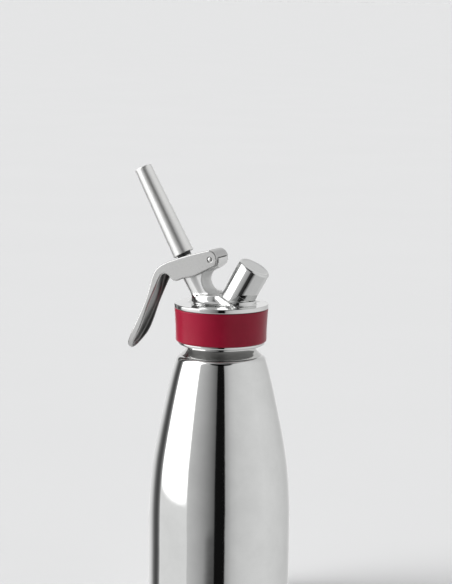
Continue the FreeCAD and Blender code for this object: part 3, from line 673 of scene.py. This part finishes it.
def f_head(p):
    x, y, z = p[:, 0], p[:, 1], p[:, 2]
    ay = np.abs(y)
    disc = s_cyl(p, np.array([0.0, 0, 0]), Z_AX, DISC_R, DISC_TOP - DISC_THICK, DISC_TOP, 0.95)
    f = np.minimum(disc, s_dome(p))
    f = np.minimum(f, s_cyl(p, np.array([0.0, 0, 0]), Z_AX, SKIRT_R, CEILING_Z, DISC_TOP - 1.0, 0.2))
    plinth = s_cyl(p, np.array([13.0, 0, 0]), Z_AX, 14.0, DISC_TOP - 1.5, DISC_TOP + 3.25, 0.6)
    f = smin(f, plinth, 1.0)
    boss = s_cyl(p, B0, B, BOSS_R, -1.5, 9.6, 0.15)
    f = smin(f, boss, 1.0)
    column = s_cyl(p, V0, D, 7.6, -1.0, COLUMN_T, 0.3, 8.35)
    # gooseneck: a flat arm with an open round cut, whose wall swells inwards like a saddle
    arm = poly2(x, z, ARM)
    r_cut = 8.2 + 4.2 * (y / 8.0) ** 2
    lugc = np.hypot(x - PIN[0], z - PIN[2]) - 6.8
    gap = np.maximum(np.maximum(-1.0 - x, x - 17.6), 0.8 * (np.abs(z - 246.5) - r_cut))
    gap = np.maximum(gap, -lugc)
    cut = np.minimum(0.8 * (np.hypot(x + 1.0, z - 246.5) - r_cut), gap)
    arm = smax(smax(arm, ay - 7.6, 0.8), -cut, 0.4)
    lug = s_cyl(p, PIN, Y_AX, 6.7, -LUG_HALF, LUG_HALF, 0.5)
    lug = smax(lug, z - (SEAM_Z - 0.15), 0.5)
    lug = smin(lug, s_cyl(p, PIN, Y_AX, 4.1, -LUG_HALF, LUG_HALF, 0.4), 0.4)
    heel = smax(poly2(x, z, HEEL), ay - LUG_HALF, 0.9)
    body = smin(column, arm, 1.2)
    body = smin(body, smin(lug, heel, 0.8), 1.0)
    f = smin(f, body, 1.7)
    # bores
    q = p - V0
    t = q @ D
    rv = np.sqrt(np.maximum((q * q).sum(1) - t * t, 0))
    f = np.maximum(f, -np.maximum(rv - 6.2, 9.0 - t))
    f = np.maximum(f, -np.maximum(rv - 7.75, COLUMN_T - t))
    f = np.maximum(f, -(rv - 4.06))
    f = np.maximum(f, -np.maximum(rv - 6.0, t - 1.5))
    f = np.maximum(f, -np.maximum(rv - 8.0, t - SEAT_T))
    qb = p - B0
    s = qb @ B
    rs = np.sqrt(np.maximum((qb * qb).sum(1) - s * s, 0))
    f = np.maximum(f, -np.maximum(rs - 8.0, 9.0 - s))
    f = np.maximum(f, -np.maximum(rs - (CAP_R + 0.15), 9.6 - s))
    f = np.maximum(f, -np.maximum(rs - 2.2, s - 10))
    f = np.maximum(f, -np.maximum(rs - 4.5, 5.0 - s))
    f = np.maximum(f, -(np.hypot(x - PIN[0], z - PIN[2]) - PIN_R))
    return f


HV = 0.42
v, q, n = surface(f_head, (-36.2, -36.2, 218.9), (36.2, 36.2, 269.0), HV)
head_top = new_mesh("head_casting_body", v, q, M_HEAD, "head", ("head_casting",), normals=n)
in_cut = np.abs(np.hypot(v[:, 0] + 1.0, v[:, 2] - 246.5) - (8.2 + 4.2 * (v[:, 1] / 8.0) ** 2))
in_cut = smooth01((1.2 - in_cut) / 0.8) * (np.abs(v[:, 1]) < 7.5) * (v[:, 0] < 5.0) * smooth01((v[:, 2] - 235.5) / 2.0)
at = head_top.data.attributes.new("cut", "FLOAT", "POINT")
at.data.foreach_set("value", in_cut.astype(np.float32))
# the boss's rim under the cap: turned true, flush with the boss
rim = path2([(8.0, 9.02)], line2((8.0, 9.6), (8.0, SEAM_S), 0.4), line2((8.6, SEAM_S), (BOSS_R - 0.15, SEAM_S), 0.8), arc2((BOSS_R - 0.15, SEAM_S - 0.15), 0.156, 90, 0, 5),
            line2((BOSS_R + 0.006, SEAM_S - 0.3), (BOSS_R + 0.006, 9.1), 0.4), [(BOSS_R - 0.4, 9.02)])
rim_ob = lathe("head_boss_rim", rim, M_HEAD, "head", ("head_casting",), 192)
rim_ob.data.transform(axis_matrix(B0, B))
collar_ob = lathe("head_collar_ring", collar, M_HEAD, "head", ("head_collar",), SEG)
# the bore and the lip's flat underside are bored, not polished, and their steel is painted dark: painted shade under
# the lip and in the bore
collar_ob.data.materials.append(M_BORED_SHADE)
for f in collar_ob.data.polygons:
    cx, cy, cz = f.center
    if math.hypot(cx, cy) < 26.9 * MM or (cz < (LIP_Z + 0.12) * MM and math.hypot(cx, cy) < 31.3 * MM):
        f.material_index = 1

# Charger inlet: threaded nipple under the cap, its shank in the boss.
spig = path2(line2((6.3, 9.05), (6.3, 23.7), 1.0), arc2((6.9, 23.7), 0.6, 180, 90, 5), arc2((8.5, 23.8), 0.5, 90, 0, 5), line2((9.0, 23.8), (9.0, SEAM_S + 0.02), 0.16),
             [(7.95, SEAM_S + 0.02), (7.95, 9.3), (7.7, 9.05)])


def spigot_thread(r, th, z):
    pitch = 1.5
    u = (z / pitch - th / (2 * math.pi)) % 1.0
    dz = np.abs(u - 0.5) * pitch
    zc = z - (u - 0.5) * pitch
    up = smooth01((0.62 - dz) / 0.5) * smooth01((zc - 12.2) / 0.8) * smooth01((23.2 - zc) / 0.8)
    return np.where((r > 8.9) & (z > 11.4), r + 0.48 * up, r)


lathe("inlet_nipple_threaded", spig, M_TURNED, "head", ("inlet_nipple",), 192, origin=B0, axis=B, shape=spigot_thread, crease=50)

# ---------------------------------------------------------------- grip band
band_out = cspline([(33.0, BAND_Z0), (33.55, BAND_Z0 + 0.6), (33.72, BAND_Z0 + 1.8), (33.75, 206.0), (33.85, 210.5), (34.05, 215.0), (34.35, 220.0), (34.75, 224.6)], 60)
band = path2([(SKIRT_R + 0.05, BAND_Z0 + 0.05), (32.6, BAND_Z0 + 0.02)], band_out, arc2((34.42, 225.12), 0.36, 0, 90, 6)[1:], [(SKIRT_R + 0.05, BAND_Z1 - 0.02)])
lathe("grip_band_sleeve", band, M_BAND, "head", ("grip_band",), SEG, crease=40)

# ---------------------------------------------------------------- nozzle
tip = NOZZLE_T + NOZZLE_LEN


def nozzle_r(t):
    return NOZZLE_R0 + (NOZZLE_R1 - NOZZLE_R0) * (t - NOZZLE_T) / NOZZLE_LEN


nz = path2([(4.6, NOZZLE_T)], line2((5.4, NOZZLE_T), (7.4, NOZZLE_T), 0.7), arc2((NOZZLE_R0 - 0.5, NOZZLE_T + 0.5), 0.49, -90, 0, 7),
           line2((nozzle_r(NOZZLE_T + 0.6), NOZZLE_T + 0.6), (nozzle_r(tip - 0.6), tip - 0.6), 1.5), arc2((NOZZLE_R1 - 0.5, tip - 0.5), 0.49, 0, 90, 7),
           [(5.7, tip)], arc2((5.65, tip - 0.45), 0.45, 90, 180, 5), line2((5.2, tip - 0.6), (5.2, 58.0), 4.0), [(4.5, 50.0), (4.5, NOZZLE_T + 0.3)])
nozzle_ob = lathe("nozzle_tube", nz, M_NOZZLE, "nozzle", ("nozzle",), SEG)
nozzle_ob.data.transform(axis_matrix(V0, D))

# ---------------------------------------------------------------- inlet cap
c0 = SEAM_S + 0.05
cap = path2(arc2((CAP_R - 0.15, c0 + 0.1), 0.15, -90, 0, 4), line2((CAP_R, c0 + 0.3), (CAP_R, CAP_TOP_S - 1.6), 1.5), arc2((CAP_R - 1.5, CAP_TOP_S - 1.5), 1.5, 0, 90, 12),
            [(10.6, CAP_TOP_S)], cspline([(10.3, CAP_TOP_S - 0.02), (10.05, CAP_TOP_S - 0.12), (9.75, CAP_TOP_S - 0.22)], 6),
            line2((9.6, CAP_TOP_S - 0.25), (0.0, CAP_TOP_S - 0.25), 1.5), [(0, 30.6), (9.3, 30.6)], arc2((9.3, 30.1), 0.5, 90, 0, 4),
            line2((9.8, 30.0), (9.8, c0 + 0.6), 2.0), [(10.3, c0)])
lathe("inlet_cap_body", cap, M_CAP, "cap", ("inlet_cap",), SEG, origin=B0, axis=B)

# ---------------------------------------------------------------- lever
TOP = [(-6.1, 269.0), (-21.3, 264.75), (-34.3, 260.45), (-41.5, 257.6), (-47.2, 254.2), (-51.0, 249.9), (-53.2, 244.3),
       (-56.4, 233.4), (-60.6, 222.6), (-65.3, 212.4), (-70.0, 203.1), (-76.4, 191.4)]
LOW = [(-73.4, 189.4), (-69.2, 195.6), (-64.7, 202.4), (-60.5, 211.4), (-56.2, 223.4), (-51.9, 233.6), (-48.4, 241.3), (-46.0, 246.3),
       (-43.9, 248.7), (-41.6, 249.2), (-39.2, 248.1), (-37.1, 246.1), (-34.9, 244.6), (-32.4, 244.3), (-29.6, 245.4), (-26.5, 246.6),
       (-21.5, 247.7), (-16.0, 249.7), (-9.1, 253.2), (-3.3, 256.2)]
END = [(-3.3, 256.2), (-1.0, 257.6), (0.25, 260.2), (0.45, 262.6), (-0.1, 264.9), (-1.6, 267.0), (-3.7, 268.4), (-6.1, 269.0)]
top_c, low_c, end_c = cspline(TOP, 90), cspline(LOW, 110), cspline(END, 30)
outline = path2(top_c, low_c, end_c)
tg = np.gradient(top_c, axis=0)
tg /= np.linalg.norm(tg, axis=1)[:, None]
nn = np.stack([tg[:, 1], -tg[:, 0]], 1)
nn[(nn @ np.array([1.0, -1.0])) < 0] *= -1
bl = np.clip((-top_c[:, 0] - 34.0) / 18.0, 0, 1)
inner_top = top_c + nn * (2.4 * (1 - bl) + 1.7 * bl)[:, None]
R_BR = 4.6
zs = SEAM_Z + 0.15 - PIN[2]
xs = PIN[0] + math.sqrt(R_BR ** 2 - zs ** 2)
bridge = arc2((PIN[0], PIN[2]), R_BR, math.degrees(math.atan2(zs, xs - PIN[0])), 75.0, 10)
inner_keep = inner_top[inner_top[:, 0] < PIN[0] - 1.5]
inner = path2(bridge, inner_keep, [(inner_keep[-1][0] + 8.0, 175.0), (25.0, 175.0), (25.0, SEAM_Z + 0.15)])
P_OUT, P_IN = Plane2(outline), Plane2(inner)
H_DIR = np.array([-0.54, 0, -0.842])
H_DIR /= np.linalg.norm(H_DIR)
H_ORG = np.array([-65.0, 0, 205.0])


def plan(p, half, reach):
    s = (p - H_ORG) @ H_DIR
    y = p[:, 1]
    e = (np.sqrt((np.maximum(s, 0) / reach) ** 2 + (y / half) ** 2 + 1e-9) - 1) * half
    return e


def f_lever(p):
    x, y, z = p[:, 0], p[:, 1], p[:, 2]
    ay = np.abs(y)
    d_out, d_in = P_OUT(x, z), P_IN(x, z)
    # the handle's rim is drawn a little thinner than the cheeks, with a full round edge
    f = smax(d_out, plan(p, LEVER_W, 17.6), 1.0)
    hollow = smax(d_in, plan(p, LEVER_W - CHEEK, 15.6), 1.6)
    f = smax(f, -hollow, 0.7)
    c = V0 + D * 34.8
    q = p - c
    u, t = q @ D1, q @ D
    prong = np.maximum(np.hypot(u, t) - 1.65, np.maximum(5.6 - ay, ay - 9.9))
    f = smin(f, prong, 0.5)
    us = np.clip(u, 0.0, 2.2)
    slot = np.maximum(np.hypot(u - us, y) - 5.5, np.maximum(-1.8 - t, t - 12.5))
    f = smax(f, -slot, 0.6)
    f = smax(f, -(np.hypot(x - PIN[0], z - PIN[2]) - PIN_R - 0.05), 0.3)
    return f


HL = 0.36
v, q, n = surface(f_lever, (-79.0, -11.4, 188.0), (2.0, 11.4, 271.0), HL)
lever_ob = new_mesh("lever_arm", v, q, M_LEVER, "lever", ("lever",), normals=n)
d_o = -P_OUT(v[:, 0], v[:, 2])
d_p = -plan(v, LEVER_W, 17.6)
near_edge = np.clip(1 - np.maximum(d_o, 0) / 1.2, 0, 1) * np.clip(1 - np.maximum(d_p, 0) / 1.2, 0, 1)
at = lever_ob.data.attributes.new("edge", "FLOAT", "POINT")
at.data.foreach_set("value", np.clip(near_edge * 1.6, 0, 1).astype(np.float32))
# the hollow of the handle is painted dark: painted shade in the channel between the cheeks
h_in = np.maximum(P_IN(v[:, 0], v[:, 2]), plan(v, LEVER_W - CHEEK, 15.6))
at = lever_ob.data.attributes.new("inside", "FLOAT", "POINT")
at.data.foreach_set("value", (smooth01((0.9 - h_in) / 0.5) * smooth01((-v[:, 0] - 38.0) / 8.0)).astype(np.float32))

# ---------------------------------------------------------------- pivot pin
pw = LEVER_W - 0.15
cap_r = np.linspace(0, 1.72, 9)
crown = np.stack([cap_r, pw + 0.2 - cap_r ** 2 / 7.0], 1)
pin = path2(crown[::1] * np.array([1, -1]), [(PIN_R, -pw + 0.5)], line2((PIN_R, -pw + 0.6), (PIN_R, pw - 0.6), 1.5), [(PIN_R, pw - 0.5)], crown[::-1])
pin_m = Matrix(((1, 0, 0, PIN[0] * MM), (0, 0, 1, 0), (0, -1, 0, PIN[2] * MM), (0, 0, 0, 1)))
pin_ob = lathe("pivot_pin_turned", pin, M_TURNED, "head", ("pivot_pin",), 64)
pin_ob.matrix_world = pin_m

# ---------------------------------------------------------------- stage
AZ, EL = math.radians(24.5), math.radians(8.4)
RIGHT = Vector((math.cos(AZ), math.sin(AZ), 0))
TOWARD = Vector((math.sin(AZ), -math.cos(AZ), 0))

me = bpy.data.meshes.new("floor")
rings, segs = 40, 96
fv, ff = [(0, 0, 0)], []
for i in range(1, rings + 1):
    r = 60.0 * (i / rings) ** 3
    fv += [(r * math.cos(2 * math.pi * k / segs), r * math.sin(2 * math.pi * k / segs), 0) for k in range(segs)]
for k in range(segs):
    ff.append((0, 1 + k, 1 + (k + 1) % segs))
for i in range(rings - 1):
    for k in range(segs):
        a, b = 1 + i * segs + k, 1 + i * segs + (k + 1) % segs
        ff.append((a, a + segs, b + segs, b))
me.from_pydata(fv, [], ff)
floor = bpy.data.objects.new("floor", me)
bpy.context.scene.collection.objects.link(floor)
fm = Mat("floor_pale", Roughness=0.8, Specular_IOR_Level=0.0)
fn = fm.noise(fm.coords(), 3.0, 3, 0.5)
fm.link(fm.mix(fn, (0.590, 0.592, 0.596), (0.606, 0.608, 0.611)), fm.b.inputs["Base Color"])
me.materials.append(fm.m)
# polished steel mirrors the studio's own lower half, which carries the same dark gap and a pale table
floor.visible_glossy = False

# ---------------------------------------------------------------- light
world = bpy.data.worlds.new("studio")
bpy.context.scene.world = world
world.use_nodes = True
nt = world.node_tree
nt.nodes.clear()


def wn(kind, **props):
    n = nt.nodes.new(kind)
    for k, v in props.items():
        setattr(n, k, v)
    return n


def wmath(op, a, b=None, clamp=False):
    n = wn("ShaderNodeMath", operation=op, use_clamp=clamp)
    for i, x in enumerate((a, b)):
        if x is None:
            continue
        if isinstance(x, (int, float)):
            n.inputs[i].default_value = x
        else:
            nt.links.new(x, n.inputs[i])
    return n.outputs[0]


def wdot(vec, d):
    n = wn("ShaderNodeVectorMath", operation="DOT_PRODUCT")
    nt.links.new(vec, n.inputs[0])
    n.inputs[1].default_value = tuple(d)
    return n.outputs["Value"]


def wsmooth(x, a, b):
    n = wn("ShaderNodeMapRange", interpolation_type="SMOOTHSTEP")
    for key, val in zip(("From Min", "From Max", "To Min", "To Max"), (a, b, 0.0, 1.0)):
        n.inputs[key].default_value = val
    nt.links.new(x, n.inputs["Value"])
    return n.outputs["Result"]


def wmix(f, a, b):
    n = wn("ShaderNodeMix", data_type="FLOAT")
    for i, x in ((0, f), (2, a), (3, b)):
        if isinstance(x, (int, float)):
            n.inputs[i].default_value = x
        else:
            nt.links.new(x, n.inputs[i])
    return n.outputs[0]


def wramp(x, stops, peak):
    """Brightness against degrees round the object, straight between its stops."""
    n = wn("ShaderNodeValToRGB")
    els = n.color_ramp.elements
    while len(els) < len(stops):
        els.new(0.5)
    for e, (deg, val) in zip(els, stops):
        e.position = (deg + 180) / 360
        e.color = (val / peak, val / peak, val / peak, 1)
    nt.links.new(x, n.inputs[0])
    return wmath("MULTIPLY", n.outputs[0], peak)


def wangle(vec, deg, height):
    """Degrees between a direction and the one at deg round the object and height above the horizon."""
    a, h = math.radians(deg), math.radians(height)
    d = (TOWARD * math.cos(a) + RIGHT * math.sin(a)) * math.cos(h) + Vector((0, 0, math.sin(h)))
    return wmath("MULTIPLY", wmath("ARCCOSINE", wmath("MINIMUM", wmath("MAXIMUM", wdot(vec, d), -1.0), 1.0)), 180 / math.pi)


tc = wn("ShaderNodeTexCoord")
vec = tc.outputs["Generated"]
phi = wmath("ARCTAN2", wdot(vec, RIGHT), wdot(vec, TOWARD))
pos = wmath("ADD", wmath("DIVIDE", phi, 2 * math.pi), 0.5)
up = wmath("MINIMUM", wmath("MAXIMUM", wdot(vec, (0, 0, 1)), -1.0), 1.0)
el = wmath("MULTIPLY", wmath("ARCSINE", up), 180 / math.pi)
# The studio, in degrees round the object, 0 on the camera's side: a big soft box on the left, a dark gap
# in front between the two walls, pale walls right and behind, and a dim strip behind the soft box.
WALLS = [(-180, 0.95), (-150, 0.88), (-142, 0.60), (-134, 0.20), (-127, 0.09), (-120, 0.11), (-114, 0.45), (-109.5, 4.0), (-100, 9.0), (-80, 9.0),
         (-57, 3.0), (-53.5, 0.74), (-40, 0.60), (-30, 0.48), (-20, 0.34), (-12, 0.22), (-8.5, 0.15), (-7, 0.008), (8.5, 0.008), (10, 0.46), (20, 0.70),
         (30, 0.81), (50, 0.88), (80, 0.95), (105, 0.90), (125, 0.82), (140, 0.74), (152, 0.70), (165, 0.80), (180, 0.95)]
TABLE = [(-180, 0.70), (-120, 0.85), (-60, 0.85), (-40, 0.66), (0, 0.66), (60, 0.71), (120, 0.69), (180, 0.70)]
CEILING = [(-180, 0.65), (-135, 0.55), (-110, 0.75), (-65, 0.75), (-50, 0.60), (-40, 0.45), (-25, 0.27), (0, 0.24), (30, 0.19), (52, 0.12), (72, 0.55),
           (90, 0.72), (130, 0.78), (180, 0.65)]
walls = wramp(pos, WALLS, 9.0)
# the soft box stands on the horizon
walls = wmath("ADD", wmath("MINIMUM", walls, 1.0), wmath("MULTIPLY", wmath("MAXIMUM", wmath("SUBTRACT", walls, 1.0), 0.0), wsmooth(el, -9, -4)))
# the gap opens out upwards, above the camera
walls = wmath("MULTIPLY", walls, wmix(wsmooth(wangle(vec, 1, 52), 19.5, 26.5), 0.03, 1.0))
# and leans to the left below the horizon
walls = wmath("MULTIPLY", walls, wmix(wsmooth(wangle(vec, -14, -28), 9, 17), 0.15, 1.0))
level = wmix(wsmooth(el, 52, 62), walls, wramp(pos, CEILING, 1.0))
level = wmix(wsmooth(el, -42, -30), wramp(pos, TABLE, 1.0), level)
lp = wn("ShaderNodeLightPath")
# in polished steel the soft box shows as plain white, so that its edges stay smooth
level = wmix(lp.outputs["Is Glossy Ray"], level, wmath("MINIMUM", level, 2.4))
bg = wn("ShaderNodeBackground")
nt.links.new(level, bg.inputs["Color"])
pale = wn("ShaderNodeBackground")
pale.inputs["Color"].default_value = (0.778, 0.784, 0.787, 1)
mx = wn("ShaderNodeMixShader")
nt.links.new(lp.outputs["Is Camera Ray"], mx.inputs[0])
nt.links.new(bg.outputs[0], mx.inputs[1])
nt.links.new(pale.outputs[0], mx.inputs[2])
out = wn("ShaderNodeOutputWorld")
nt.links.new(mx.outputs[0], out.inputs[0])

# ---------------------------------------------------------------- camera
PX, DIST = 1350.0, 1.6            # pixels a metre at the disc, and its distance
disc_centre = Vector((0, 0, DISC_TOP * MM))
c = Vector((math.sin(AZ) * math.cos(EL), -math.cos(AZ) * math.cos(EL), math.sin(EL)))
u = Vector((-math.sin(AZ) * math.sin(EL), math.cos(AZ) * math.sin(EL), math.cos(EL)))
eye = disc_centre + c * DIST
roll = math.radians(0.65)
# where the view's centre lies beside the disc's centre, first with the view's roll and then without it
fx, fy = (226.0 - 221.5) / PX, (302.9 - 292.0) / PX
gx = fx * math.cos(roll) - fy * math.sin(roll)
gy = fx * math.sin(roll) + fy * math.cos(roll)
look = disc_centre + RIGHT * gx + u * gy
back = (eye - look).normalized()
right = Vector((0, 0, 1)).cross(back).normalized()
upv = back.cross(right)
r2 = right * math.cos(roll) + upv * math.sin(roll)
u2 = -right * math.sin(roll) + upv * math.cos(roll)
rot = Matrix((r2, u2, back)).transposed()
cam_data = bpy.data.cameras.new("camera")
cam_data.lens = PX * DIST / 584 * 36
cam_data.sensor_width = 36
cam_data.clip_start, cam_data.clip_end = 0.1, 150
cam = bpy.data.objects.new("camera", cam_data)
cam.matrix_world = Matrix.Translation(eye) @ rot.to_4x4()
bpy.context.scene.collection.objects.link(cam)
bpy.context.scene.camera = cam
bpy.context.scene.view_settings.view_transform = "Standard"
bpy.context.scene.view_settings.look = "None"
